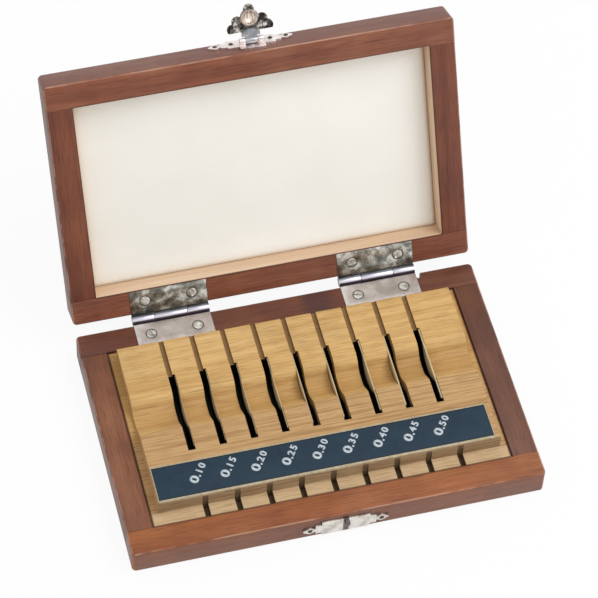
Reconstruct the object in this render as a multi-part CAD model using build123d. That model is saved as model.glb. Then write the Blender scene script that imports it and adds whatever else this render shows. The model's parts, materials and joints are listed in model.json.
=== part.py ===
from build123d import *
import math
import os

# A small wooden case for nine thin gauge blocks, drawn with its lid standing open.
# Millimetres. The origin is the middle of the case's underside, +X to the right,
# +Y from the front wall to the hinges, +Z up.

# Case
CASE_W = 146.0
CASE_D = 92.7
BASE_H = 10.8
LID_H = 11.8
RAIL_W = 9.4
CORNER_R = 1.6
EDGE_CUT = 0.6
CASE_GAP = 0.5          # between base and lid when the case is shut
LID_OPEN = 117.0        # degrees from shut to the hinges' stop

# Panels let into a rebate round the foot of the rails, and the lid's pad
PANEL_T = 2.8
REBATE_W = 4.0
PAD_T = 1.2
PAD_CLEAR = 0.3

# Slotted block, heights measured from the base's rim
BLOCK_CLEAR = 0.2       # from the flange to the rails
FLANGE_DROP = 0.6
TOP_RISE = 5.0
BLOCK_END = 2.8         # from the flange's edge to the raised part, left and right
BLOCK_FOOT = 5.1        # the same, at the front
BLOCK_BACK = 2.2        # the same, at the back
BACK_CUT = 0.6          # chamfer along the top's back edge

# Finger scoop across the block, which lays the gauges' middles bare
SCOOP_START = 28.9      # from the raised part's front wall to the scoop's front edge
SCOOP_DEPTH = 4.2
SCOOP_FALL = 5.4        # length of the slope behind that edge
SCOOP_FLOOR = 3.8
SCOOP_RISE = 7.4        # length of the double curve from the floor up to the top
SCOOP_R = 4.0           # rounding at the foot of the slope

# Gauge blocks, thinnest first
GAUGE_L = 30.0
GAUGE_H = 9.0
GAUGE_THIN = 0.10
GAUGE_STEP = 0.05
GAUGE_CLEAR = 0.08
GAUGE_LEAN = 2.0        # degrees from upright
STANDS_LEFT = (5, 6, 8)  # slots whose gauge stands against the left wall, counted from 1

# Slots, saw grooves behind them and notches in front of them
SLOT_COUNT = 9
SLOT_PITCH = 11.1
SLOT_W = 2.6
SLOT_L = 32.0
SLOT_AHEAD = 9.9        # from the scoop's front edge to the slot's front end
SLOT_SPARE = 0.4        # how much deeper a slot is than a gauge is high
GAUGE_BEHIND = 0.3      # from the slot's back end to the gauge
GROOVE_W = 1.8
GROOVE_DEPTH = 1.2
GROOVE_SHIFT = -0.5
NOTCH_PITCH = 11.3
NOTCH_SHIFT = 1.0       # the notches' middle, right of the case's middle
NOTCH_W = 2.0
NOTCH_DEPTH = 3.0
NOTCH_IN = 0.5          # how far a notch bites into the front wall
NOTCH_UP = 3.6          # and how high it reaches there, above the flange
TOOL_PAST = 1.0         # how far a cutting tool stands out of the wood

# Label
LABEL_T = 0.4
LABEL_W = 119.2
LABEL_D = 14.6
LABEL_SHIFT = -0.8
LABEL_INSET = 0.2       # from the front wall's top edge

# Hinges
HINGE_INSET = 21.0      # from the case's end to the hinge
HINGE_W = 28.0
LEAF_T = 0.8
LEAF_SHORT = 0.2        # the leaf stops this far short of the rail's inner face
LEAF_GAP = 0.1          # between the two leaves when shut
MID_KNUCKLE = 12.0
KNUCKLE_R = 1.8
KNUCKLE_GAP = 0.15
AXIS_OUT = 1.9
PIN_R = 0.8
RUN_CLEAR = 0.05
MORTISE_CLEAR = 0.05
SCREW_SPREAD = 8.5      # from the hinge's middle to each screw
SCREW_IN = 5.0
SCREW_HEAD_R = 1.9
SCREW_R = 0.9
SCREW_L = 6.0
FIT = 0.03
CHIP_R = 0.9            # small round notch in the back rail, beside the right hinge
CHIP_IN = 2.6
CHIP_DEPTH = 4.0

# Ornamental plates on the two front walls
PLATE_T = 0.8
PLATE_BODY_W = 17.0
PLATE_STEP_W = 21.5
STEP_CUT = 1.3          # how much lower the stepped ends are, above and below
LOBE_REACH = 15.6       # from the plate's middle to its pointed end
LOBE_L = 2.9            # half the length of a pointed lobe
LOBE_H = 1.8            # half its height
LOBE_R = 0.5
NAIL_HEAD_R = 0.9
NAIL_TOP_R = 0.5
NAIL_HEAD_H = 0.4
NAIL_W = 0.7
NAIL_L = 4.5

# Latch on the lid, heights measured from the lid's rim
LATCH_X = 1.8
LATCH_H = 6.4
LATCH_UP = 7.7
INNER_NAILS = 7.0       # from the plate's middle to its inner nails
TAB_W = 9.0
TAB_UP = 2.5
PIVOT_UP = 5.6
PIVOT_OUT = 2.1
BARREL_R = 1.2
EAR_W = 2.0
EAR_GAP = 0.15
EAR_WEB = 1.6
FLAP_KNUCKLE = 4.2
LATCH_PIN_R = 0.5

# Flap, measured down from its pivot: sideways, down and radius of each lobe
FLAP_T = 0.8
NECK_W = 6.5
NECK_START = 1.7
WING_START = 3.5
WING_LOBE = (6.2, 4.7, 2.0)
SIDE_LOBE = (4.4, 7.4, 2.0)
CUP_DOWN = 8.5
CUP_R = 3.2
CUP_RISE = 1.5
CUP_WALL = 0.7
KNOB_DOWN = 11.5
KNOB_R = 1.9
KNOB_RISE = 1.3

# Catch on the base
CATCH_X = 1.6
CATCH_H = 7.0
CATCH_UP = 4.9          # the plate's middle above the underside
POST_PAST_CUP = 1.0     # the post's middle, past the cup's middle towards the knob
POST_R = 1.0
POST_L = 1.9
POST_EDGE = 0.3

# Places that several pieces share
FRONT = -CASE_D / 2
BACK = CASE_D / 2
INNER_W = CASE_W - 2 * RAIL_W
INNER_D = CASE_D - 2 * RAIL_W
LID_RIM = BASE_H + CASE_GAP
HINGE_X = CASE_W / 2 - HINGE_INSET - HINGE_W / 2
HINGE_Y = BACK + AXIS_OUT
HINGE_Z = BASE_H + CASE_GAP / 2
HINGE_AXIS = Axis((0, HINGE_Y, HINGE_Z), (1, 0, 0))
LEAF_TOP = -LEAF_GAP / 2
LEAF_FRONT = -AXIS_OUT - RAIL_W + LEAF_SHORT
SCREW_Y = -AXIS_OUT - SCREW_IN
PLATE_FACE = FRONT - PLATE_T
PIVOT = Vector(LATCH_X, FRONT - PIVOT_OUT, LID_RIM + PIVOT_UP)
PIVOT_AXIS = Axis(PIVOT, (1, 0, 0))
POST_Z = PIVOT.Z - CUP_DOWN - POST_PAST_CUP
FLANGE_W = INNER_W - 2 * BLOCK_CLEAR
FLANGE_FRONT = FRONT + RAIL_W + BLOCK_CLEAR
FLANGE_BACK = BACK - RAIL_W - BLOCK_CLEAR
FLANGE_Z = BASE_H - FLANGE_DROP
TOP_Z = BASE_H + TOP_RISE
SCOOP_Z = TOP_Z - SCOOP_DEPTH
BLOCK_W = FLANGE_W - 2 * BLOCK_END
BLOCK_FRONT_Y = FLANGE_FRONT + BLOCK_FOOT
BLOCK_BACK_Y = FLANGE_BACK - BLOCK_BACK
SCOOP_Y = BLOCK_FRONT_Y + SCOOP_START
FLOOR_Y = SCOOP_Y + SCOOP_FALL
RISE_Y = FLOOR_Y + SCOOP_FLOOR
CREST_Y = RISE_Y + SCOOP_RISE
SLOT_Y = SCOOP_Y - SLOT_AHEAD
SLOT_BACK_Y = SLOT_Y + SLOT_L
SLOT_Z = TOP_Z - GAUGE_H - SLOT_SPARE
SLOT_STEPS = [i - (SLOT_COUNT - 1) / 2 for i in range(SLOT_COUNT)]
SLOT_XS = [step * SLOT_PITCH for step in SLOT_STEPS]
NOTCH_XS = [step * NOTCH_PITCH + NOTCH_SHIFT for step in SLOT_STEPS]
UP = (Align.CENTER, Align.CENTER, Align.MIN)
DOWN = (Align.CENTER, Align.CENTER, Align.MAX)


def block(x0, x1, y0, y1, z0, z1):
    """A box given by its limits."""
    return Pos((x0 + x1) / 2, (y0 + y1) / 2, (z0 + z1) / 2) * Box(x1 - x0, y1 - y0, z1 - z0)


def rod(x0, x1, radius):
    """A round bar along X, on the line y = z = 0."""
    return Pos((x0 + x1) / 2, 0, 0) * Rot(0, 90, 0) * Cylinder(radius, x1 - x0)


def dome(base_r, rise):
    """A low dome turned in three flats, standing on z = 0."""
    steps = [math.radians(degrees) for degrees in (0, 30, 60, 90)]
    flats = [(base_r * math.cos(step), rise * math.sin(step)) for step in steps]
    return revolve(Plane.XZ * make_face(Polyline((0, 0), *flats, close=True)), Axis.Z)


def opened(shape):
    """Swing a piece of the shut lid to the hinges' stop."""
    return shape.rotate(HINGE_AXIS, -LID_OPEN)


# The two trays


def tray_panel():
    """The thin board under a tray, let into the rails' rebates."""
    side = 2 * (RAIL_W - REBATE_W)
    return Box(CASE_W - side, CASE_D - side, PANEL_T, align=UP)


def tray_rails(height):
    """Front and back rails over the full width, with the sides butted between them."""
    moulded = extrude(RectangleRounded(CASE_W, CASE_D, CORNER_R), height)
    rims = moulded.edges().group_by(Axis.Z)
    moulded = chamfer(rims[0] + rims[-1], EDGE_CUT)
    ring = moulded - Box(INNER_W, INNER_D, height, align=UP) - tray_panel()
    end, inner_end = CASE_W / 2, INNER_W / 2
    inner_front, inner_back = FRONT + RAIL_W, BACK - RAIL_W
    return {
        "front_rail": ring & block(-end, end, FRONT, inner_front, 0, height),
        "back_rail": ring & block(-end, end, inner_back, BACK, 0, height),
        "left_side": ring & block(-end, -inner_end, inner_front, inner_back, 0, height),
        "right_side": ring & block(inner_end, end, inner_front, inner_back, 0, height),
    }


def as_lid(shape):
    """Turn a piece of a tray standing mouth up at z = 0 into the same piece of the shut lid."""
    return Pos(0, 0, LID_RIM + LID_H) * mirror(shape, about=Plane.XY)


def lid_pad():
    """The pad on the lid's panel, standing on z = PANEL_T before it is turned over."""
    side = 2 * PAD_CLEAR
    return Pos(0, 0, PANEL_T) * Box(INNER_W - side, INNER_D - side, PAD_T, align=UP)


# Screws and nails


def screw(grow=0.0):
    """A countersunk screw, head flush at z = 0 and pointing down; grow makes the tool for its hole."""
    half = make_face(Polyline(
        (0, 0),
        (SCREW_HEAD_R + grow, 0),
        (SCREW_R + grow, -LEAF_T),
        (SCREW_R + grow, -SCREW_L - grow),
        (0, -SCREW_L - grow),
        close=True,
    ))
    return revolve(Plane.XZ * half, Axis.Z)


def nail():
    """A square-shanked nail with a low round head, seated on z = 0 and pointing down."""
    head = Cone(NAIL_HEAD_R, NAIL_TOP_R, NAIL_HEAD_H, align=UP)
    return head + Box(NAIL_W, NAIL_W, NAIL_L, align=DOWN)


def nail_hole():
    """The tool for a nail's hole."""
    wide = NAIL_W + 2 * FIT
    return Box(wide, wide, NAIL_L + FIT, align=DOWN)


def on_plate(shape, x, z):
    """Stand a piece on the outer face of a plate on the front wall, its +Z pointing outwards."""
    return Pos(x, PLATE_FACE, z) * Rot(90, 0, 0) * shape


# Hinges, drawn about their axis; the upper half is the mirrored lower half


def knuckle_spans(middle, grow):
    """Where the middle knuckle or the two outer ones lie along X, each inner end moved by grow."""
    joint = MID_KNUCKLE / 2
    if middle:
        return [(-joint - grow, joint + grow)]
    return [(-HINGE_W / 2, grow - joint), (joint - grow, HINGE_W / 2)]


def hinge_leaf(middle):
    """A lower leaf with either the middle knuckle or the two outer ones."""
    leaf = block(-HINGE_W / 2, HINGE_W / 2, LEAF_FRONT, 0, LEAF_TOP - LEAF_T, LEAF_TOP)
    for x0, x1 in knuckle_spans(middle, -KNUCKLE_GAP / 2):
        leaf += rod(x0, x1, KNUCKLE_R)
    room = KNUCKLE_R + KNUCKLE_GAP
    for x0, x1 in knuckle_spans(not middle, KNUCKLE_GAP / 2):
        leaf -= block(x0, x1, -room, room, -room, room)
    leaf -= rod(-HINGE_W / 2, HINGE_W / 2, PIN_R + RUN_CLEAR)
    for hole in leaf_screws(screw(FIT)):
        leaf -= hole
    return leaf


def leaf_screws(shape):
    """A screw, or the tool for its hole, at both screw places of a lower leaf."""
    return [Pos(x, SCREW_Y, LEAF_TOP) * shape for x in (-SCREW_SPREAD, SCREW_SPREAD)]


def leaf_seat():
    """What the lower half of a hinge needs out of the rail: its mortise and screw holes."""
    half = HINGE_W / 2 + MORTISE_CLEAR
    seat = block(-half, half, LEAF_FRONT, 0, LEAF_TOP - LEAF_T, 0)
    for hole in leaf_screws(screw(FIT)):
        seat += hole
    return seat


def at_hinge(shape, side):
    """Place a piece drawn about the hinge axis at the left (-1) or right (+1) hinge."""
    return Pos(side * HINGE_X, HINGE_Y, HINGE_Z) * shape


def upper(shape):
    """Turn a lower piece of a hinge into the upper one of the shut case."""
    return mirror(shape, about=Plane.XY)


def back_rail_chip():
    """The small round notch that runs down the back rail beside the right hinge."""
    x = HINGE_X + HINGE_W / 2 + CHIP_R
    inner = BACK - CHIP_IN + CHIP_R
    low = BASE_H - CHIP_DEPTH
    groove = block(x - CHIP_R, x + CHIP_R, inner, BACK, low, BASE_H)
    return groove + Pos(x, inner, low) * Cylinder(CHIP_R, CHIP_DEPTH, align=UP)


# Catch and latch


def plate_outline(height):
    """A plate with stepped ends and a pointed lobe at each end."""
    middle = LOBE_REACH - LOBE_L
    outline = Rectangle(PLATE_BODY_W, height) + Rectangle(PLATE_STEP_W, height - 2 * STEP_CUT)
    outline += Rectangle(2 * middle, LOBE_H)
    for side in (-1, 1):
        lobe = Polygon((-LOBE_L, 0), (0, -LOBE_H), (LOBE_L, 0), (0, LOBE_H))
        outline += Pos(side * middle, 0) * fillet(lobe.vertices(), LOBE_R)
    return outline


def on_wall(outline, x, z):
    """Stand a plate with this outline against the front wall."""
    wall = Plane(origin=(x, FRONT, z), x_dir=(1, 0, 0), z_dir=(0, -1, 0))
    return extrude(wall * outline, PLATE_T)


def lobe_nails(x):
    """The nails' places along X in the two ends of a plate."""
    return [x - LOBE_REACH + LOBE_L, x + LOBE_REACH - LOBE_L]


def nailed(shape, xs, z):
    """Cut a row of nail holes through a piece of the front wall."""
    for x in xs:
        shape -= on_plate(nail_hole(), x, z)
    return shape


CATCH_NAILS = (lobe_nails(CATCH_X), CATCH_UP)
LATCH_NAILS = (
    lobe_nails(LATCH_X) + [LATCH_X - INNER_NAILS, LATCH_X + INNER_NAILS],
    LID_RIM + LATCH_UP,
)


def catch_plate():
    """The plate on the base with the post that the latch closes over."""
    post = extrude(Circle(POST_R), POST_L)
    post = chamfer(post.edges().group_by(Axis.Z)[-1], POST_EDGE)
    plate = on_wall(plate_outline(CATCH_H), CATCH_X, CATCH_UP) + on_plate(post, LATCH_X, POST_Z)
    return nailed(plate, *CATCH_NAILS)


def latch_plate():
    """The plate on the shut lid, with a tab below and the two ears of the latch's pivot."""
    tab_h = LATCH_UP - TAB_UP
    outline = plate_outline(LATCH_H) + Pos(0, -tab_h / 2) * Rectangle(TAB_W, tab_h)
    plate = on_wall(outline, LATCH_X, LID_RIM + LATCH_UP)
    near = FLAP_KNUCKLE / 2 + EAR_GAP
    for x0, x1 in ((-near - EAR_W, -near), (near, near + EAR_W)):
        web = block(x0, x1, 0, PIVOT_OUT - PLATE_T, -EAR_WEB / 2, EAR_WEB / 2)
        plate += Pos(PIVOT) * (rod(x0, x1, BARREL_R) + web)
    plate -= Pos(PIVOT) * rod(-TAB_W / 2, TAB_W / 2, LATCH_PIN_R + RUN_CLEAR)
    return nailed(plate, *LATCH_NAILS)


def latch_pin():
    """The pivot pin through both ears and the flap."""
    half = FLAP_KNUCKLE / 2 + EAR_GAP + EAR_W
    return Pos(PIVOT) * rod(-half, half, LATCH_PIN_R)


def flap_outline():
    """The flap's scalloped outline, pivot at the origin and knob below."""
    neck_h = CUP_DOWN - NECK_START
    outline = Pos(0, -NECK_START - neck_h / 2) * Rectangle(NECK_W, neck_h)
    outline += Pos(0, -CUP_DOWN) * Circle(CUP_R)
    outline += Pos(0, -KNOB_DOWN) * Circle(KNOB_R)
    side_x, side_down, _ = SIDE_LOBE
    wings = Pos(0, -(WING_START + side_down) / 2) * Rectangle(2 * side_x, side_down - WING_START)
    for side in (-1, 1):
        for sideways, down, radius in (WING_LOBE, SIDE_LOBE):
            wings += Pos(side * sideways, -down) * Circle(radius)
    above = Pos(0, -WING_START) * Rectangle(CASE_W, CUP_DOWN, align=(Align.CENTER, Align.MIN))
    return outline + (wings - above)


def latch_flap():
    """The flap hanging shut: a stamped plate with a cup over the post, a knob and a rolled knuckle."""
    half = FLAP_T / 2
    flap = extrude(Pos(0, 0, -half) * flap_outline(), FLAP_T)
    flap += Pos(0, -NECK_START / 2, 0) * Box(FLAP_KNUCKLE, NECK_START, FLAP_T)
    for down, radius, rise in ((CUP_DOWN, CUP_R, CUP_RISE), (KNOB_DOWN, KNOB_R, KNOB_RISE)):
        flap += Pos(0, -down, half) * dome(radius, rise)
    flap -= Pos(0, -CUP_DOWN, -half) * dome(CUP_R - CUP_WALL, CUP_RISE + FLAP_T - CUP_WALL)
    flap += rod(-FLAP_KNUCKLE / 2, FLAP_KNUCKLE / 2, BARREL_R)
    flap -= rod(-FLAP_KNUCKLE / 2, FLAP_KNUCKLE / 2, LATCH_PIN_R + RUN_CLEAR)
    return Plane(origin=PIVOT, x_dir=(1, 0, 0), z_dir=(0, -1, 0)) * flap


# Block, label and gauges


def slot_block():
    """The milled block: a flange, a flat top with a finger scoop across it, and nine slots."""
    middle = ((RISE_Y + CREST_Y) / 2, (SCOOP_Z + TOP_Z) / 2)
    foot, crest = (RISE_Y, SCOOP_Z), (CREST_Y, TOP_Z)
    front, back = BLOCK_FRONT_Y, BLOCK_BACK_Y
    profile = make_face([
        Polyline((front, FLANGE_Z), (front, TOP_Z), (SCOOP_Y, TOP_Z), (FLOOR_Y, SCOOP_Z), foot),
        TangentArc(foot, middle, tangent=(1, 0)),
        TangentArc(crest, middle, tangent=(-1, 0)),
        Polyline(crest, (back, TOP_Z), (back, FLANGE_Z), (front, FLANGE_Z)),
    ])
    profile = chamfer(profile.vertices().sort_by_distance((back, TOP_Z))[0], BACK_CUT)
    profile = fillet(profile.vertices().sort_by_distance((FLOOR_Y, SCOOP_Z))[0], SCOOP_R)
    raised = extrude(Plane.YZ * profile, BLOCK_W / 2, both=True)
    wood = raised + block(-FLANGE_W / 2, FLANGE_W / 2, FLANGE_FRONT, FLANGE_BACK, PANEL_T, FLANGE_Z)
    past = TOP_Z + TOOL_PAST
    for x in SLOT_XS:
        wood -= block(x - SLOT_W / 2, x + SLOT_W / 2, SLOT_Y, SLOT_BACK_Y, SLOT_Z, past)
        x += GROOVE_SHIFT
        wood -= block(x - GROOVE_W / 2, x + GROOVE_W / 2,
                      SLOT_BACK_Y, back, TOP_Z - GROOVE_DEPTH, past)
    for x in NOTCH_XS:
        wood -= block(x - NOTCH_W / 2, x + NOTCH_W / 2,
                      FLANGE_FRONT, front + NOTCH_IN, FLANGE_Z - NOTCH_DEPTH, FLANGE_Z + NOTCH_UP)
    return wood


def label_strip():
    """The printed strip on the block's front part, in front of the slots."""
    x0, y0 = LABEL_SHIFT - LABEL_W / 2, BLOCK_FRONT_Y + LABEL_INSET
    return block(x0, x0 + LABEL_W, y0, y0 + LABEL_D, TOP_Z, TOP_Z + LABEL_T)


def gauge(index):
    """One thin gauge block on edge in its slot, its top against one of the slot's walls."""
    thick = GAUGE_THIN + index * GAUGE_STEP
    side = -1 if index + 1 in STANDS_LEFT else 1
    lean = math.radians(GAUGE_LEAN)
    width = thick * math.cos(lean) + GAUGE_H * math.sin(lean)
    height = GAUGE_H * math.cos(lean) + thick * math.sin(lean)
    x = SLOT_XS[index] + side * ((SLOT_W - width) / 2 - GAUGE_CLEAR)
    y = SLOT_BACK_Y - GAUGE_BEHIND - GAUGE_L / 2
    place = Pos(x, y, SLOT_Z + GAUGE_CLEAR + height / 2)
    return place * Rot(0, side * GAUGE_LEAN, 0) * Box(thick, GAUGE_L, GAUGE_H)


# Assembly


def base_pieces():
    """Every piece of the base, by name."""
    rails = tray_rails(BASE_H)
    for side in (-1, 1):
        rails["back_rail"] -= at_hinge(leaf_seat(), side)
    rails["back_rail"] -= back_rail_chip()
    rails["front_rail"] = nailed(rails["front_rail"], *CATCH_NAILS)
    pieces = {f"base_{name}": shape for name, shape in rails.items()}
    pieces["base_panel"] = tray_panel()
    pieces["slot_block"] = slot_block()
    pieces["label_strip"] = label_strip()
    pieces["catch_plate"] = catch_plate()
    pieces["catch_nails"] = Compound(children=[on_plate(nail(), x, CATCH_UP) for x in CATCH_NAILS[0]])
    for name, side in (("left", -1), ("right", 1)):
        pieces[f"{name}_hinge_lower_leaf"] = at_hinge(hinge_leaf(middle=False), side)
        pieces[f"{name}_hinge_pin"] = at_hinge(rod(-HINGE_W / 2, HINGE_W / 2, PIN_R), side)
    pieces["base_hinge_screws"] = Compound(children=[
        at_hinge(piece, side) for side in (-1, 1) for piece in leaf_screws(screw())])
    return pieces


def lid_pieces():
    """Every piece of the shut lid, by name."""
    rails = {name: as_lid(shape) for name, shape in tray_rails(LID_H).items()}
    for side in (-1, 1):
        rails["back_rail"] -= at_hinge(upper(leaf_seat()), side)
    rails["front_rail"] = nailed(rails["front_rail"], *LATCH_NAILS)
    pieces = {f"lid_{name}": shape for name, shape in rails.items()}
    pieces["lid_panel"] = as_lid(tray_panel())
    pieces["lid_pad"] = as_lid(lid_pad())
    pieces["latch_plate"] = latch_plate()
    xs, z = LATCH_NAILS
    pieces["latch_nails"] = Compound(children=[on_plate(nail(), x, z) for x in xs])
    pieces["latch_pin"] = latch_pin()
    for name, side in (("left", -1), ("right", 1)):
        pieces[f"{name}_hinge_upper_leaf"] = at_hinge(upper(hinge_leaf(middle=True)), side)
    pieces["lid_hinge_screws"] = Compound(children=[
        at_hinge(upper(piece), side) for side in (-1, 1) for piece in leaf_screws(screw())])
    return pieces


def all_pieces():
    """The case as it stands open, with the latch's flap square to the lid's front wall."""
    pieces = base_pieces()
    pieces.update({name: opened(shape) for name, shape in lid_pieces().items()})
    pieces["latch_flap"] = opened(latch_flap().rotate(PIVOT_AXIS, -90))
    for i in range(SLOT_COUNT):
        size = round(100 * (GAUGE_THIN + i * GAUGE_STEP))
        pieces[f"gauge_{size:03d}"] = gauge(i)
    return pieces


os.makedirs("parts", exist_ok=True)
for node, solid in all_pieces().items():
    export_step(solid, f"parts/{node}.step")
hinge_line = f"hinge axis at y = {HINGE_Y:.3f}, z = {HINGE_Z:.3f}"
pivot_place = opened(Vertex(PIVOT)).center()
print(hinge_line)
print(f"latch pivot when open at x = {pivot_place.X:.4f}, y = {pivot_place.Y:.4f}, z = {pivot_place.Z:.4f}")
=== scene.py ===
import bmesh
import bpy
import json
import math
from mathutils import Euler, Matrix, Vector, noise

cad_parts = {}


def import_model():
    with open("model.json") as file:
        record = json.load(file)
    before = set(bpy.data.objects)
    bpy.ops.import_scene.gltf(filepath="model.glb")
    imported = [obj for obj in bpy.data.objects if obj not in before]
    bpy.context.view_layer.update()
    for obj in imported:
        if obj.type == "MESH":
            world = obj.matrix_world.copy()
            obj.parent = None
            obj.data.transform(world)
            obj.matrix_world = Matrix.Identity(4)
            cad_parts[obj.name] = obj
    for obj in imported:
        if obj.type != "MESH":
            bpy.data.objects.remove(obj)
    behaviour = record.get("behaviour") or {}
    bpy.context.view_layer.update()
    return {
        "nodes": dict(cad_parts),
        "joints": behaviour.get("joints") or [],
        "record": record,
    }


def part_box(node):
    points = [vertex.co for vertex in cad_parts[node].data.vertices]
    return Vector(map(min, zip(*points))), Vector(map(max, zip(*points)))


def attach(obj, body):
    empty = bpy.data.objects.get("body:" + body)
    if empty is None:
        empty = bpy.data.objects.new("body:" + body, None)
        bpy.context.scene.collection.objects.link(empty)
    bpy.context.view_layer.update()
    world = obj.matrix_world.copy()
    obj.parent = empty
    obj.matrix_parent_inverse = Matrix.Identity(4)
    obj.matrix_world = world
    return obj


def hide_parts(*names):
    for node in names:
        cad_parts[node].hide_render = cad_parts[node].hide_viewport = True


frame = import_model()

MM = 0.001      # everything here is in metres

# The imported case
base_low, base_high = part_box("base_front_rail")
back_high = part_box("base_back_rail")[1]
block_low, block_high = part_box("slot_block")
label_low, label_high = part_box("label_strip")
hinge = next(joint for joint in frame["joints"] if joint["name"] == "lid_hinge")
HINGE_AT = Vector(hinge["pos_m"])
LID_ANGLE = math.radians(hinge["range_deg"][0])
LATCH_AT = Vector(next(joint for joint in frame["joints"] if joint["name"] == "latch_pivot")["pos_m"])
FRONT_Y = base_low.y
HALF_W = (base_high.x - base_low.x) / 2
HALF_D = (back_high.y - FRONT_Y) / 2
RAIL_W = base_high.y - base_low.y
RIM_Z = base_high.z
LID_RIM_Z = 2 * HINGE_AT.z - RIM_Z
RECESS_DEEP = 9.3 * MM
GAUGES = [name for name in frame["nodes"] if name.startswith("gauge_")]
BASE_UP = Vector((0, 0, 1))

# The slotted block
SLOT_PITCH = 11.1 * MM
SLOT_HALF = 1.33 * MM
SLOT_FRONT_Y = -12.68 * MM
SLOT_BACK_Y = 19.38 * MM
LEFT_GAUGES = (4, 5, 7)     # places in the row where the gauge stands against the slot's left wall
GROOVE_SHIFT = -0.5 * MM
GROOVE_HALF = 0.95 * MM
NOTCH_PITCH = 11.3 * MM
NOTCH_SHIFT = 1.0 * MM
NOTCH_HALF = 1.03 * MM
SCOOP_EDGE_Y = -2.75 * MM
SCOOP_MID_Y = 5.2 * MM
SCOOP_REACH = 8.6 * MM
SCOOP_DEEP = 4.2 * MM
FLANGE_BACK_Y = block_low.y + 5.05 * MM
FRONT_WALL_Y = block_low.y + 5.6 * MM
NOTCH_BACK_Y = block_low.y + 5.7 * MM

# The label's print: bare margins, the first number's zero, and the step to the next number
PRINT_FRONT = 0.9 * MM
PRINT_BACK = 0.6 * MM
PRINT_END = 0.3 * MM
PRINT_BORDER = 0.45 * MM
ZERO_AT = (-46.5 * MM, -24.75 * MM)
NUMBER_PITCH = 10.82 * MM
NUMBER_TURN = math.radians(55)
LETTERS = (         # each letter's height, how much it is widened, and its place from the zero's
    (3.3 * MM, 1.35, (0, 0)),
    (0.8 * MM, 1.0, (2.2 * MM, 0.9 * MM)),
    (2.6 * MM, 1.1, (2.35 * MM, 2.95 * MM)),
    (2.6 * MM, 1.1, (3.75 * MM, 4.95 * MM)),
)

# The pad
PAD_STEPS = (90, 56)
PAD_ROUND = 0.75        # how far the pad's edge falls back, and over what width, in millimetres
PAD_ROUND_WIDTH = 0.9
PAD_THIN = 0.06
PAD_UNEVEN = 0.22
PAD_FLAT_EDGE = 6.0
PAD_HUMPS = 60          # humps in a metre

# Screws and the latch's cup
HEAD_R = 1.9 * MM
SCREW_CUT = 0.55 * MM
SCREW_CUT_DEEP = 0.45 * MM
SCREW_CUT_END = 0.3 * MM
CUP_DOWN = 8.5 * MM

# Setting: the camera's place and its yaw, pitch and roll in degrees, and the light
EYE_AT = Vector((-184.0, -574.45, 905.6)) * MM
EYE_TURN = (15.292, 52.84, 1.923)
WORLD_LIGHT = 0.72
FLOOR_WHITE = 0.92
KEY_WATTS = 4.6


def shut_to_open():
    """The turn that swings a piece of the shut lid to where it stands open."""
    turn = Matrix.Rotation(LID_ANGLE, 4, "X")
    return Matrix.Translation(HINGE_AT) @ turn @ Matrix.Translation(-HINGE_AT)


def middle_and_half(low, high):
    """The middle of a box, and half its size."""
    return (low + high) / 2, (high - low) / 2


def corners(points):
    """The lowest and highest corner round some points."""
    points = list(points)
    return (Vector(pick(p[i] for p in points) for i in range(3)) for pick in (min, max))


# Shader maths


class Value:
    """One output in a material's nodes; arithmetic on it adds the Math nodes."""

    def __init__(self, tree, socket=None):
        self.tree = tree
        self.socket = socket

    def make(self, kind, settings=None, inputs=None, output=0):
        """Add a node of any kind: its settings first, then the values or links of its sockets."""
        node = self.tree.nodes.new(kind)
        for name, setting in (settings or {}).items():
            if name == "stops":
                set_stops(node.color_ramp, setting)
            else:
                setattr(node, name, setting)
        for name, value in (inputs or {}).items():
            if isinstance(value, Value):
                self.tree.links.new(value.socket, node.inputs[name])
            else:
                node.inputs[name].default_value = value
        return Value(self.tree, node.outputs[output])

    def math(self, operation, *others):
        """The Math node whose first value is this one."""
        return self.make("ShaderNodeMath", {"operation": operation}, dict(enumerate((self, *others))))

    def __add__(self, other):
        return self.math("ADD", other)

    def __radd__(self, other):
        return self.math("ADD", other)

    def __sub__(self, other):
        return self.math("SUBTRACT", other)

    def __rsub__(self, other):
        return self.math("MULTIPLY_ADD", -1.0, other)

    def __mul__(self, other):
        return self.math("MULTIPLY", other)

    def __rmul__(self, other):
        return self.math("MULTIPLY", other)

    def __truediv__(self, other):
        return self.math("DIVIDE", other)

    def __abs__(self):
        return self.math("ABSOLUTE")

    def least(self, other):
        return self.math("MINIMUM", other)

    def most(self, other):
        return self.math("MAXIMUM", other)

    def above(self, edge, softness):
        """0 below the edge and 1 above it, with a soft step."""
        return self.make("ShaderNodeMapRange", {"interpolation_type": "SMOOTHSTEP"}, {
            "Value": self, "From Min": edge - softness, "From Max": edge + softness})

    def below(self, edge, softness):
        return 1 - self.above(edge, softness)


def set_stops(ramp, stops):
    """Give a colour ramp its stops: at least two (position, colour) pairs, from low to high."""
    for position, colour in stops[2:]:
        ramp.elements.new(position)
    for element, (position, colour) in zip(ramp.elements, stops):
        element.position = position
        element.color = srgb(colour)


def srgb(colour):
    """A colour as a screen shows it, 0 to 255, in the linear values that shaders take."""
    if isinstance(colour, Value):
        return colour
    shares = [c / 255 for c in colour]
    return (*(c / 12.92 if c <= 0.04045 else ((c + 0.055) / 1.055) ** 2.4 for c in shares), 1)


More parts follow.
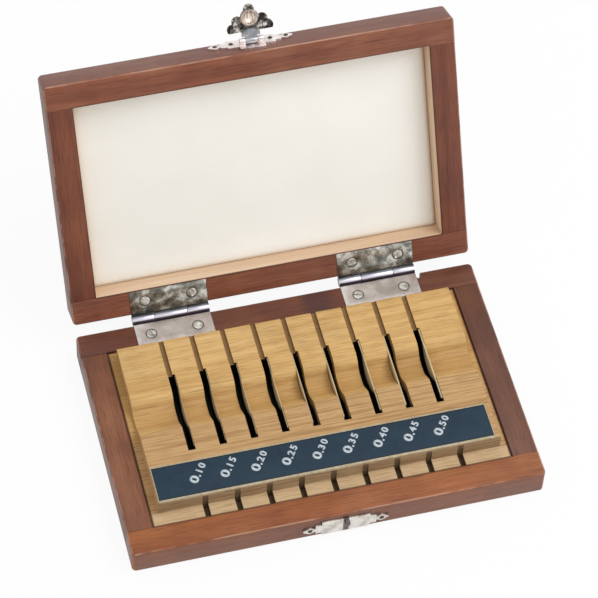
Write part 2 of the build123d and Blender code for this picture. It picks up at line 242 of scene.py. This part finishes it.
class Finish:
    """A material with its main shader, and the helpers that its finish is made from."""

    def __init__(self, name, **uniform):
        self.material = bpy.data.materials.new(name)
        self.material.use_nodes = True
        self.tree = self.material.node_tree
        self.shader = self.tree.nodes["Principled BSDF"]
        self.start = Value(self.tree)
        for socket, value in uniform.items():
            self.shader.inputs[socket.replace("_", " ")].default_value = value

    def make(self, kind, settings=None, inputs=None, output=0):
        return self.start.make(kind, settings, inputs, output)

    def place(self, lid=False):
        """Object coordinates; for a piece of the lid, turned back to where it lies shut."""
        place = self.make("ShaderNodeTexCoord", output="Object")
        if lid:
            place = self.make("ShaderNodeVectorRotate", {"rotation_type": "X_AXIS"}, {
                "Vector": place, "Center": HINGE_AT, "Angle": -LID_ANGLE})
        return place

    def axes(self, place):
        """The three coordinates of a place."""
        split = self.make("ShaderNodeSeparateXYZ", None, {"Vector": place})
        return [Value(self.tree, output) for output in split.socket.node.outputs]

    def distance(self, place, point):
        return self.make("ShaderNodeVectorMath", {"operation": "DISTANCE"}, {0: place, 1: point},
                         output="Value")

    def noise(self, place, scale, detail=3.0, roughness=0.5, distortion=0.0, move=(0, 0, 0)):
        """Noise of one scale, or of a scale for each axis."""
        if not isinstance(scale, float):
            place = self.make("ShaderNodeMapping", None, {
                "Vector": place, "Scale": scale, "Location": move})
            scale = 1.0
        return self.make("ShaderNodeTexNoise", None, {
            "Vector": place, "Scale": scale, "Detail": detail, "Roughness": roughness,
            "Distortion": distortion})

    def ramp(self, value, *stops):
        return self.make("ShaderNodeValToRGB", {"stops": stops}, {"Fac": value})

    def mix(self, share, first, second):
        """The first colour where the share is 0, the second where it is 1."""
        return self.make("ShaderNodeMix", {"data_type": "RGBA"}, {
            0: share, 6: srgb(first), 7: srgb(second)}, output=2)

    def bump(self, height, distance, strength):
        return self.make("ShaderNodeBump", None, {
            "Height": height, "Distance": distance, "Strength": strength})

    def feed(self, **links):
        for socket, value in links.items():
            self.tree.links.new(value.socket, self.shader.inputs[socket.replace("_", " ")])
        return self.material


# Wood


def wood_grain(finish, place, along, move):
    """Growth bands, fibres and pores of a board whose grain runs along X or Y."""
    def scale(across, lengthways):
        return [lengthways if name == along else across for name in "XYZ"]

    bands = finish.noise(place, scale(230, 8), 3.0, 0.55, 0.6, (move, move, move))
    fibres = finish.noise(place, scale(2200, 42), 3.0, 0.6)
    pores = finish.noise(place, scale(3600, 120), 1.0, 0.5)
    return bands, fibres, pores.above(0.6, 0.06)


def stained_wood(name, along, dark, mid, pale, move, lid=False, smudge=None, plate=None):
    """Stained and varnished rails, worn along their edges, with painted shade and a painted reflection on
    them; the lid's recess is bare inside.
    """
    finish = Finish(name, Specular_IOR_Level=0.35, Coat_Roughness=0.3, Coat_Weight=0.12)
    place = finish.place(lid)
    x, y, z = finish.axes(place)
    bands, fibres, pores = wood_grain(finish, place, along, move)
    patches = finish.noise(place, 34.0, 3.0, 0.6)
    smoky = finish.noise(place, 21.0, 2.0, 0.5).above(0.56, 0.12)
    worn = finish.noise(place, (60, 120, 120), 3.0, 0.6).above(0.46, 0.1)
    tone = bands * 0.34 + fibres * 0.2 + patches * 0.5
    colour = finish.ramp(tone, (0.36, dark), (0.53, mid), (0.7, pale))
    colour = finish.mix(smoky * 0.2, colour, (98, 66, 62))
    # painted reflection: the outer faces greyed by the floor's reflection
    colour = finish.mix(outer_face_sheen(x, y) * 0.45, colour, (100, 76, 74))
    colour = finish.mix(pores * 0.4, colour, (52, 26, 18))
    colour = finish.mix(outer_edges(x, y, z, lid) * worn * 0.7, colour, (206, 162, 136))
    # painted shade along the rails' inner edges
    colour = finish.mix(inner_edge_shade(x, y) * 0.6, colour, (56, 30, 22))
    if smudge is not None:
        mark = abs(x - smudge).below(5 * MM, 3 * MM) * patches.above(0.4, 0.12)
        colour = finish.mix(mark * 0.6, colour, (64, 44, 46))
    # painted shadow round the catch plate
    if plate:
        colour = finish.mix(shadow_round_plate(x, y, z, plate) * 0.8, colour, (52, 34, 34))
    rough = 0.4 + fibres * 0.16
    if lid:
        bare = finish.ramp(bands * 0.5 + fibres * 0.5, (0.3, (206, 170, 136)), (0.7, (236, 212, 184)))
        inside = inside_recess(x, y, z)
        colour = finish.mix(inside, colour, bare)
        rough = rough + inside * 0.2
    height = fibres * 0.6 - pores * 0.8
    return finish.feed(Base_Color=colour, Roughness=rough, Normal=finish.bump(height, 0.04 * MM, 0.5))


def outer_face_sheen(x, y):
    """1 on the outsides of a tray, which take a painted grey reflection of the floor."""
    soft = 0.1 * MM
    end = abs(x).above(HALF_W - 0.2 * MM, soft)
    side = abs(y).above(HALF_D - 0.2 * MM, soft)
    return (end + side).least(1.0)


def outer_edges(x, y, z, lid):
    """1 along the outer edges of a tray, which hands wear."""
    reach, soft = 0.45 * MM, 0.2 * MM
    end = abs(x).above(HALF_W - reach, soft)
    side = abs(y).above(HALF_D - reach, soft)
    rim = abs(z - (LID_RIM_Z if lid else RIM_Z)).below(reach, soft)
    foot = z.below(0.5 * MM, soft)
    return ((end + side) * (rim + foot) + end * side * 0.5).least(1.0)


def inner_edge_shade(x, y):
    """1 along a tray's inner edge, where painted shade lies."""
    out = (abs(x) - (HALF_W - RAIL_W)).most(abs(y) - (HALF_D - RAIL_W))
    return abs(out).below(0.4 * MM, 0.15 * MM)


def shadow_round_plate(x, y, z, plate):
    """1 on the wood close round a plate with a stepped outline, where the plate's painted shadow lies."""
    middle, half = middle_and_half(*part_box(plate))
    across, up = abs(x - middle.x), abs(z - middle.z)
    steps = [(across - half.x * length).most(up - half.z * height)
             for length, height in ((0.57, 1.0), (0.7, 0.65), (0.97, 0.3))]
    out = steps[0].least(steps[1]).least(steps[2])
    return out.below(0.35 * MM, 0.25 * MM) * y.below(FRONT_Y + 0.4 * MM, 0.1 * MM)


def inside_recess(x, y, z):
    """1 on the inner walls of the lid's recess, which the stain doesn't reach."""
    soft = 0.12 * MM
    across = abs(x).below(HALF_W - RAIL_W + soft, soft)
    back = abs(y).below(HALF_D - RAIL_W + soft, soft)
    return across * back * z.above(LID_RIM_Z + 0.5 * MM, 2 * soft) * z.below(LID_RIM_Z + RECESS_DEEP, soft)


def block_wood():
    """The slotted block's bare golden wood: browner in front, with painted shade in the scoop and the cuts.
    """
    finish = Finish("golden block wood", Specular_IOR_Level=0.3)
    place = finish.place()
    x, y, z = finish.axes(place)
    bands, fibres, pores = wood_grain(finish, place, "X", 3.1)
    layers = finish.noise(place, (7, 420, 900), 2.0, 0.6, 0.4)
    tone = bands * 0.3 + layers * 0.36 + fibres * 0.34
    colour = finish.ramp(tone, (0.36, (190, 148, 90)), (0.5, (211, 171, 110)), (0.66, (226, 191, 133)))
    front = y.below(SCOOP_EDGE_Y, 0.3 * MM)
    lines = finish.noise(place, (22, 1500, 1500), 2.0, 0.6).above(0.56, 0.08)
    brown = finish.mix(lines * 0.8, (190, 153, 109), (140, 98, 60))
    colour = finish.mix(front * 0.7, colour, brown)
    # painted shade in the scoop's hollow
    scoop = z.below(block_high.z - 2.2 * MM, 1.6 * MM) * (1 - front)
    colour = finish.mix(scoop * 0.4, colour, (168, 120, 60))
    colour = block_edges(finish, place, x, y, colour)
    colour = finish.mix(pores * 0.4, colour, (132, 88, 46))
    grimy = finish.noise(place, 55.0, 3.0, 0.6).above(0.58, 0.1)
    colour = finish.mix(grimy * 0.15, colour, (128, 92, 56))
    colour = cut_shade(finish, x, y, z, colour)
    height = fibres * 0.5 - pores * 0.6 - lines * front * 0.5
    return finish.feed(Base_Color=colour, Roughness=0.55 + fibres * 0.15,
                       Normal=finish.bump(height, 0.03 * MM, 0.4))


def block_edges(finish, place, x, y, colour):
    """The sawn front wall with painted shade on it, the pale flange below it and a painted shadow round the
    block's edge.
    """
    wall = y.below(FRONT_WALL_Y, 0.3 * MM)
    flange = y.below(FLANGE_BACK_Y, 0.05 * MM)
    # the front wall: sawn streaks on a tone darkened as painted shade
    streaks = finish.noise(place, (60, 900, 1300), 2.0, 0.6).above(0.52, 0.08)
    sawn_wall_shade = finish.mix(streaks * 0.6, (166, 144, 116), (116, 88, 58))
    colour = finish.mix((wall - flange) * 0.8, colour, sawn_wall_shade)
    colour = finish.mix(flange * 0.7, colour, (210, 184, 146))
    # painted shadow along the block's outer edge, beside the rails
    middle, half = middle_and_half(block_low, block_high)
    out = (abs(x - middle.x) - half.x).most(abs(y - middle.y) - half.y)
    return finish.mix(out.above(-0.45 * MM, 0.12 * MM) * 0.75, colour, (72, 44, 28))


def cut_shade(finish, x, y, z, colour):
    """Painted shade in the saw grooves and notches, and the slots painted black as deep shadow, except
    where a gauge leaves light.
    """
    below_top = z.below(block_high.z - 0.15 * MM, 0.1 * MM)
    # painted shade in the grooves and notches below the top
    grooves = near_row(x, SLOT_PITCH, GROOVE_SHIFT, GROOVE_HALF) * y.above(SLOT_BACK_Y, 0.05 * MM)
    colour = finish.mix(grooves * below_top * 0.7, colour, (104, 72, 40))
    notches = near_row(x, NOTCH_PITCH, NOTCH_SHIFT, NOTCH_HALF) * y.below(NOTCH_BACK_Y, 0.1 * MM)
    colour = finish.mix(notches * below_top * 0.8, colour, (88, 72, 50))
    # painted shadow: the slots black below the top
    slot_shadow = (near_row(x, SLOT_PITCH, 0, SLOT_HALF) * y.above(SLOT_FRONT_Y, 0.02 * MM)
             * y.below(SLOT_BACK_Y, 0.02 * MM) * below_top)
    lit = sum(abs(x - (i - 4) * SLOT_PITCH - SLOT_HALF).below(0.3 * MM, 0.1 * MM) for i in LEFT_GAUGES)
    lit = lit * below_surface(y, z).below(3.6 * MM, 0.8 * MM) * y.above(SLOT_FRONT_Y + 1.8 * MM, 0.3 * MM)
    return finish.mix(slot_shadow * (1 - lit * 0.85), colour, (14, 9, 5))


def below_surface(y, z):
    """How far a place lies below the block's top or, in the scoop, below the scoop's floor."""
    across = (y - SCOOP_MID_Y) / SCOOP_REACH
    scoop = (1 - across * across).most(0.0) * SCOOP_DEEP
    return block_high.z - scoop - z


def near_row(x, pitch, shift, half):
    """1 within half of each line of a row of nine, pitch apart and moved along X by shift."""
    from_line = abs(((x - shift) / pitch + 0.5).math("FRACT") - 0.5) * pitch
    return from_line.below(half, 0.03 * MM) * abs(x - shift).below(4.5 * pitch, 0.1 * MM)


# Metal


def nickel(name, dark, mid, pale, patchy=260.0, knuckle=False, heads=()):
    """Old nickel plate in dark, grey and bright patches of tarnish and of painted reflection and highlight,
    with a painted shadow ring round screw heads.
    """
    finish = Finish(name, Metallic=1.0)
    place = finish.place()
    patches = finish.noise(place, patchy, 3.0, 0.65)
    fine = finish.noise(place, 5200.0, 2.0, 0.5)
    colour = finish.ramp(patches, (0.36, dark), (0.5, mid), (0.64, pale))
    if knuckle:
        colour = knuckle_reflection(finish, place, patches, colour)
    for centre in heads:
        # painted shadow: a dark ring round each screw head
        head_shade_ring = abs(finish.distance(place, centre) - HEAD_R).below(0.22 * MM, 0.12 * MM)
        colour = finish.mix(head_shade_ring * 0.8, colour, (58, 54, 50))
    return finish.feed(Base_Color=colour, Roughness=0.22 + patches * 0.2,
                       Normal=finish.bump(fine, 0.01 * MM, 0.3))


def knuckle_reflection(finish, place, patches, colour):
    """The hinges' knuckles with painted reflection bands: a painted highlight above and in front, painted
    shade below and behind.
    """
    y, z = finish.axes(place)[1:]
    y, z = y - HINGE_AT.y, z - HINGE_AT.z
    near_pin = (y * y + z * z).below((2.2 * MM) ** 2, (0.9 * MM) ** 2)
    facing_up = (y * 0.8 + z * 0.6) / (3.6 * MM) + 0.5 + patches * 0.1 - 0.05
    # painted reflection bands round the pin: dark, a bright painted highlight, then dark
    reflection_bands = finish.ramp(
        facing_up, (0.08, (52, 46, 54)), (0.28, (116, 110, 126)), (0.4, (226, 222, 236)),
        (0.54, (208, 206, 218)), (0.74, (132, 132, 142)), (0.95, (78, 80, 78)))
    return finish.mix(near_pin, colour, reflection_bands)


def catch_nickel():
    """The catch plate's bright nickel, with painted shade on its post and beside it."""
    finish = Finish("catch nickel", Metallic=1.0)
    place = finish.place()
    patches = finish.noise(place, 300.0, 3.0, 0.6)
    colour = finish.ramp(patches, (0.36, (192, 186, 178)), (0.5, (218, 212, 204)), (0.64, (234, 230, 222)))
    middle = middle_and_half(*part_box("catch_plate"))[0]
    # painted shade down the post and the post's painted shadow on the plate beside it
    from_post = abs(finish.axes(place)[0] - middle.x + patches * 0.5 * MM - 0.25 * MM)
    colour = finish.mix(from_post.below(1.0 * MM, 0.15 * MM) * 0.85, colour, (66, 56, 62))
    return finish.feed(Base_Color=colour, Roughness=0.24 + patches * 0.2)


def flap_nickel():
    """The latch flap's plate, with painted reflections: a bright painted highlight on its cup, grey at its
    pivot and black in its lobes.
    """
    finish = Finish("latch flap nickel", Metallic=1.0)
    place = finish.place()
    patches = finish.noise(place, 420.0, 3.0, 0.65)
    streaks = finish.noise(place, (2600, 300, 300), 2.0, 0.5)
    # painted reflections: dark and bright patches on the lobes
    lobes = finish.ramp(patches, (0.42, (42, 40, 40)), (0.54, (112, 106, 100)), (0.66, (224, 216, 206)))
    near_pivot = finish.distance(place, LATCH_AT).below(4.4 * MM, 0.8 * MM) * (0.9 - streaks * 0.5)
    plate = finish.mix(near_pivot, lobes, (176, 180, 188))
    # painted highlight: the bright colour laid on the cup
    worn = finish.ramp(streaks, (0.4, (176, 158, 150)), (0.6, (238, 226, 212)))
    on_cup = (finish.distance(place, cup_middle()) + patches * 0.6 * MM).below(3.2 * MM, 0.5 * MM)
    return finish.feed(Base_Color=finish.mix(on_cup, plate, worn), Roughness=0.24 + patches * 0.2)


def cup_middle():
    """The middle of the flap's cup, on the line from the pivot to the flap's far end."""
    places = (vertex.co for vertex in frame["nodes"]["latch_flap"].data.vertices)
    end = max(places, key=lambda place: (place - LATCH_AT).length)
    return LATCH_AT + (Vector((LATCH_AT.x, end.y, end.z)) - LATCH_AT).normalized() * CUP_DOWN


def lapped_steel():
    """The gauges' lapped faces with painted light and shade: bright where they stand clear of the wood in
    the scoop and along their top, painted shade below.
    """
    finish = Finish("lapped steel")
    place = finish.place()
    y, z = finish.axes(place)[1:]
    lap = finish.noise(place, (900, 120, 3600), 2.0, 0.5)
    # painted light on the part clear of the wood and on the top edge, painted shade on the rest
    lit_part = below_surface(y, z).below(0.9 * MM, 0.8 * MM)
    top = z.above(block_high.z - 0.42 * MM, 0.06 * MM)
    shaded_steel = finish.ramp(lap, (0.3, (30, 27, 22)), (0.7, (52, 47, 38)))
    lit_steel = finish.ramp(lap, (0.3, (180, 160, 122)), (0.7, (208, 187, 148)))
    colour = finish.mix((lit_part + top * 0.6).least(1.0), shaded_steel, lit_steel)
    return finish.feed(Base_Color=colour, Roughness=0.4 + lap * 0.12, Metallic=0.7 - lit_part * 0.5)


# Label and pad


def printed_label():
    """Dark blue print with a darker border, and a pale margin round it."""
    finish = Finish("printed label", Specular_IOR_Level=0.3)
    place = finish.place()
    x, y, z = finish.axes(place)
    patches = finish.noise(place, 120.0, 3.0, 0.6)
    fine = finish.noise(place, 900.0, 2.0, 0.6)
    blue = finish.ramp(patches * 0.6 + fine * 0.4, (0.3, (16, 40, 56)), (0.7, (30, 54, 70)))
    margin = finish.ramp(fine, (0.3, (162, 148, 122)), (0.7, (192, 178, 148)))
    middle, half = middle_and_half(label_low, label_high)
    soft = 0.06 * MM
    half_print = half.y - (PRINT_FRONT + PRINT_BACK) / 2
    from_middle = abs(y - middle.y - (PRINT_FRONT - PRINT_BACK) / 2)
    printed = (abs(x - middle.x).below(half.x - PRINT_END, soft) * from_middle.below(half_print, soft)
               * z.above(label_high.z - 0.02 * MM, 0.01 * MM))
    inside = (from_middle - half_print).below(-PRINT_BORDER, 0.1 * MM)
    colour = finish.mix(printed, margin, finish.mix(inside, (14, 30, 40), blue))
    return finish.feed(Base_Color=colour, Roughness=0.5 + fine * 0.1)


def number_ink():
    """The numbers' white ink."""
    finish = Finish("white ink")
    wear = finish.noise(finish.place(), 2200.0, 2.0, 0.5)
    colour = finish.ramp(wear, (0.3, (168, 180, 190)), (0.7, (214, 222, 226)))
    return finish.feed(Base_Color=colour, Roughness=0.5 + wear * 0.1)


def pad_cloth():
    """The soft white cloth over the lid's pad."""
    finish = Finish("white pad cloth", Specular_IOR_Level=0.2, Sheen_Weight=0.2, Sheen_Roughness=0.5)
    place = finish.place(lid=True)
    across = finish.noise(place, (5200, 700, 700), 2.0, 0.6)
    along = finish.noise(place, (700, 5200, 700), 2.0, 0.6)
    weave = across * 0.5 + along * 0.5
    drift = finish.noise(place, 26.0, 2.0, 0.5)
    colour = finish.ramp(weave * 0.4 + drift * 0.6, (0.35, (242, 241, 233)), (0.65, (250, 249, 243)))
    return finish.feed(Base_Color=colour, Roughness=0.8 + weave * 0.1,
                       Normal=finish.bump(weave, 0.05 * MM, 0.5))


# Pieces


def finish_piece(name, shape, body, material, replaces=(), bevel=None):
    """Make the object, put it on its body and hide the CAD parts it replaces."""
    mesh = bpy.data.meshes.new(name)
    shape.to_mesh(mesh)
    shape.free()
    piece = bpy.data.objects.new(name, mesh)
    bpy.context.scene.collection.objects.link(piece)
    mesh.materials.append(material)
    for face in mesh.polygons:
        face.use_smooth = True
    if bevel:
        soften = piece.modifiers.new("soft edges", "BEVEL")
        soften.width = bevel
        soften.segments = 3
        soften.limit_method = "ANGLE"
        soften.angle_limit = math.radians(35)
        soften.harden_normals = True
    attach(piece, body)
    if replaces:
        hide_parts(*replaces)
    return piece


def copied(node):
    """A CAD node's shape with its loose triangles merged and its flat faces made whole."""
    shape = bmesh.new()
    shape.from_mesh(frame["nodes"][node].data)
    bmesh.ops.remove_doubles(shape, verts=shape.verts, dist=0.001 * MM)
    bmesh.ops.dissolve_limit(shape, angle_limit=math.radians(1), verts=shape.verts, edges=shape.edges)
    return shape


def dressed(node, material, bevel):
    """A CAD node's shape as a finished piece with softened edges."""
    record = frame["record"]
    body = next(b for b, names in record["behaviour"]["bodies"].items() if node in names)
    return finish_piece(node + "_finished", copied(node), body, material, [node], bevel)


def rails():
    """The eight rails and two panels, each with its grain lengthways."""
    # Each side of the case gets its own copy of one stained wood, darker at the back and on the right:
    # painted light and shade.
    front = stained_wood("front rail wood", "X", (130, 69, 34), (160, 94, 51), (182, 117, 70), 1.7,
                         plate="catch_plate")
    back = stained_wood("back rail wood", "X", (84, 41, 27), (109, 61, 41), (132, 80, 54), 2.6,
                        smudge=14.5 * MM)
    left = stained_wood("left side wood", "Y", (98, 56, 36), (126, 77, 51), (150, 99, 68), 4.2)
    right = stained_wood("right side wood", "Y", (80, 45, 30), (106, 64, 43), (128, 83, 58), 5.3)
    lid_x = stained_wood("lid rail wood", "X", (106, 54, 36), (138, 79, 54), (160, 105, 75), 1.1, lid=True)
    lid_y = stained_wood("lid side wood", "Y", (90, 42, 28), (114, 60, 38), (137, 78, 51), 3.4, lid=True)
    for node, material in (
        ("base_front_rail", front), ("base_back_rail", back), ("base_left_side", left),
        ("base_right_side", right), ("base_panel", front), ("lid_front_rail", lid_x),
        ("lid_back_rail", lid_x), ("lid_left_side", lid_y), ("lid_right_side", lid_y), ("lid_panel", lid_x),
    ):
        dressed(node, material, 0.3 * MM)


def label():
    """The strip with its print, and the gauges' sizes, 0.10 to 0.50, on slanting lines."""
    dressed("label_strip", printed_label(), 0.08 * MM)
    shape = bmesh.new()
    for i in range(len(GAUGES)):
        zero = Vector((ZERO_AT[0] + i * NUMBER_PITCH, ZERO_AT[1], label_high.z))
        for letter, (height, widen, off) in zip(f"{0.10 + 0.05 * i:.2f}", LETTERS):
            add_letter(shape, letter, height, widen, zero + Vector((*off, 0)))
    bmesh.ops.remove_doubles(shape, verts=shape.verts, dist=0.0005 * MM)
    finish_piece("label_numbers", shape, "base", number_ink())


def add_letter(shape, letter, height, widen, place):
    """Add one bold flat letter to a shape, centred on its place and turned along the slanting line."""
    curve = bpy.data.curves.new("number", "FONT")
    curve.body = letter
    curve.extrude = 0.005
    curve.offset = 0.04
    curve.resolution_u = 6
    writing = bpy.data.objects.new("number", curve)
    mesh = bpy.data.meshes.new_from_object(writing)
    low, high = corners(vertex.co for vertex in mesh.vertices)
    scale = height / (high.y - low.y)
    mesh.transform(Matrix.Translation(place) @ Matrix.Rotation(NUMBER_TURN, 4, "Z")
                   @ Matrix.Diagonal((scale * widen, scale, scale, 1))
                   @ Matrix.Translation(-Vector(((low.x + high.x) / 2, (low.y + high.y) / 2, low.z))))
    shape.from_mesh(mesh)
    bpy.data.objects.remove(writing)
    bpy.data.curves.remove(curve)
    bpy.data.meshes.remove(mesh)


def pad():
    """The lid's pad: thin wadding under cloth, crowned, rounded at its edges and a little uneven."""
    shut = shut_to_open().inverted()
    low, high = corners(shut @ vertex.co for vertex in frame["nodes"]["lid_pad"].data.vertices)
    middle, half = middle_and_half(low, high)
    shape = bmesh.new()
    bmesh.ops.create_grid(shape, x_segments=PAD_STEPS[0], y_segments=PAD_STEPS[1], size=1.0)
    sheet = bmesh.ops.extrude_face_region(shape, geom=shape.faces[:])
    glued = {part for part in sheet["geom"] if isinstance(part, bmesh.types.BMVert)}   # to the panel
    for vertex in shape.verts:
        u, v = vertex.co.x, vertex.co.y
        x, y, z = middle.x + u * half.x, middle.y + v * half.y, high.z
        if vertex not in glued:
            to_edge = min((1 - abs(u)) * half.x, (1 - abs(v)) * half.y) / MM
            uneven = noise.noise(Vector((x, y, 0)) * PAD_HUMPS) + 0.5
            back = (PAD_THIN + PAD_ROUND * math.exp(-to_edge / PAD_ROUND_WIDTH)
                    + PAD_UNEVEN * uneven * min(to_edge / PAD_FLAT_EDGE, 1))
            z = low.z + back * MM
        vertex.co = (x, y, z)
    bmesh.ops.recalc_face_normals(shape, faces=shape.faces)
    shape.transform(shut_to_open())
    piece = finish_piece("lid_pad_cloth", shape, "lid", pad_cloth(), ["lid_pad"])


def facing(shape, up):
    """A shape's faces that look straight up, such as the flat tops of its screw heads."""
    return [face for face in shape.faces if face.normal.dot(up) > 0.99]


def head_centres(shape, up):
    return [face.calc_center_median() for face in facing(shape, up)]


def slotted_screws(node, body, material, up, turns):
    """Countersunk screws with a slot sunk into each head."""
    shape = copied(node)
    for centre, turn in zip(head_centres(shape, up), turns):
        def from_centre(face):
            return (face.calc_center_median() - centre).length

        side = Matrix.Rotation(math.radians(turn), 3, up) @ Vector((1, 0, 0))
        for plane, reach in ((side, SCREW_CUT / 2), (up.cross(side), HEAD_R - SCREW_CUT_END)):
            for way in (-1, 1):
                top = [face for face in facing(shape, up) if from_centre(face) < HEAD_R]
                part = list({bit for face in top for bit in (face, *face.edges, *face.verts)})
                bmesh.ops.bisect_plane(shape, geom=part, plane_co=centre + plane * way * reach,
                                       plane_no=plane)
        cut = min(facing(shape, up), key=from_centre)
        sunk = bmesh.ops.extrude_discrete_faces(shape, faces=[cut])["faces"]
        floor_verts = list({vertex for face in sunk for vertex in face.verts})
        bmesh.ops.translate(shape, vec=-up * SCREW_CUT_DEEP, verts=floor_verts)
    bmesh.ops.recalc_face_normals(shape, faces=shape.faces)
    finish_piece(node + "_slotted", shape, body, material, [node], 0.08 * MM)


def metalwork():
    """Hinges, catch, latch, screws, nails and pins."""
    lid_up = shut_to_open().to_3x3() @ -BASE_UP
    base_heads = head_centres(copied("base_hinge_screws"), BASE_UP)
    lid_heads = head_centres(copied("lid_hinge_screws"), lid_up)
    plain = nickel("nickel", (184, 176, 170), (194, 186, 181), (206, 200, 194), 180.0, True, base_heads)
    # the lid's leaves: nickel painted dark as a reflection, with painted highlights
    dark = nickel("nickel with painted dark reflection", (106, 108, 100), (152, 151, 144), (224, 226, 222), 290.0, True,
                  lid_heads)
    rosy = nickel("latch plate nickel", (204, 192, 188), (238, 228, 224), (248, 244, 242))
    heads = nickel("screw nickel", (166, 164, 156), (206, 204, 198), (234, 232, 228), 700.0,
                   heads=base_heads + lid_heads)
    dull = nickel("dark nails", (48, 42, 38), (84, 76, 68), (140, 130, 118), 700.0)
    for side in ("left", "right"):
        dressed(f"{side}_hinge_lower_leaf", plain, 0.12 * MM)
        dressed(f"{side}_hinge_upper_leaf", dark, 0.12 * MM)
        dressed(f"{side}_hinge_pin", dull, 0.1 * MM)
    dressed("catch_plate", catch_nickel(), 0.12 * MM)
    dressed("latch_plate", rosy, 0.12 * MM)
    dressed("latch_flap", flap_nickel(), 0.15 * MM)
    dressed("latch_pin", dull, 0.1 * MM)
    dressed("catch_nails", dull, 0.12 * MM)
    dressed("latch_nails", dull, 0.12 * MM)
    slotted_screws("base_hinge_screws", "base", heads, BASE_UP, (20, 75, 130, 48))
    slotted_screws("lid_hinge_screws", "lid", heads, lid_up, (65, 12, 100, 150))


def gauges():
    """The nine gauge blocks, all of one steel."""
    steel = lapped_steel()
    for gauge in GAUGES:
        dressed(gauge, steel, 0.02 * MM)


# Setting


def camera():
    """The photograph's view: a long lens, looking down from the front left."""
    data = bpy.data.cameras.new("camera")
    eye = bpy.data.objects.new("camera", data)
    bpy.context.scene.collection.objects.link(eye)
    data.sensor_width = 36
    data.lens = 185.7
    data.shift_x = 0.1003
    data.shift_y = -0.1171
    data.clip_end = 10
    yaw, pitch, roll = (math.radians(turn) for turn in EYE_TURN)
    aim = Euler((math.pi / 2 - pitch, 0, -yaw)).to_matrix().to_4x4()
    eye.matrix_world = Matrix.Translation(EYE_AT) @ aim @ Matrix.Rotation(roll, 4, "Z")
    bpy.context.scene.camera = eye


def seen_directly(start):
    """1 for what the camera sees itself, in a mirror or through glass; 0 for what only lights."""
    rays = [start.make("ShaderNodeLightPath", output=kind)
            for kind in ("Is Camera Ray", "Is Glossy Ray", "Is Transmission Ray")]
    return (rays[0] + rays[1] + rays[2]).least(1.0)


def floor():
    """A white floor that keeps a faint shadow."""
    shape = bmesh.new()
    bmesh.ops.create_grid(shape, x_segments=1, y_segments=1, size=3.0)
    mesh = bpy.data.meshes.new("floor")
    shape.to_mesh(mesh)
    shape.free()
    ground = bpy.data.objects.new("floor", mesh)
    bpy.context.scene.collection.objects.link(ground)
    finish = Finish("white floor", Specular_IOR_Level=0.0, Roughness=1.0, Base_Color=(0.9, 0.9, 0.9, 1))
    white = finish.make("ShaderNodeEmission", None, {"Color": (1, 1, 1, 1), "Strength": 1.0})
    lit = Value(finish.tree, finish.shader.outputs["BSDF"])
    shown = finish.make("ShaderNodeMixShader", None, {
        0: seen_directly(finish.start) * FLOOR_WHITE, 1: lit, 2: white})
    finish.tree.links.new(shown.socket, finish.tree.nodes["Material Output"].inputs["Surface"])
    mesh.materials.append(finish.material)


def world():
    """A soft light from all round, which the camera sees as white."""
    studio = bpy.data.worlds.new("studio")
    bpy.context.scene.world = studio
    studio.use_nodes = True
    shine = seen_directly(Value(studio.node_tree)) * (1 - WORLD_LIGHT) + WORLD_LIGHT
    background = studio.node_tree.nodes["Background"]
    studio.node_tree.links.new(shine.socket, background.inputs["Strength"])
    background.inputs["Color"].default_value = (1, 1, 1, 1)


def lamp():
    """One broad soft lamp above and to the right."""
    data = bpy.data.lights.new("key", "AREA")
    data.shape = "SQUARE"
    data.size = 0.6
    data.energy = KEY_WATTS
    light = bpy.data.objects.new("key", data)
    bpy.context.scene.collection.objects.link(light)
    light.location = (0.5, -0.15, 0.9)
    light.rotation_euler = (-light.location).to_track_quat("-Z", "Y").to_euler()


rails()
dressed("slot_block", block_wood(), 0.2 * MM)
label()
pad()
metalwork()
gauges()
camera()
floor()
world()
lamp()

bpy.context.scene.view_settings.view_transform = "Standard"
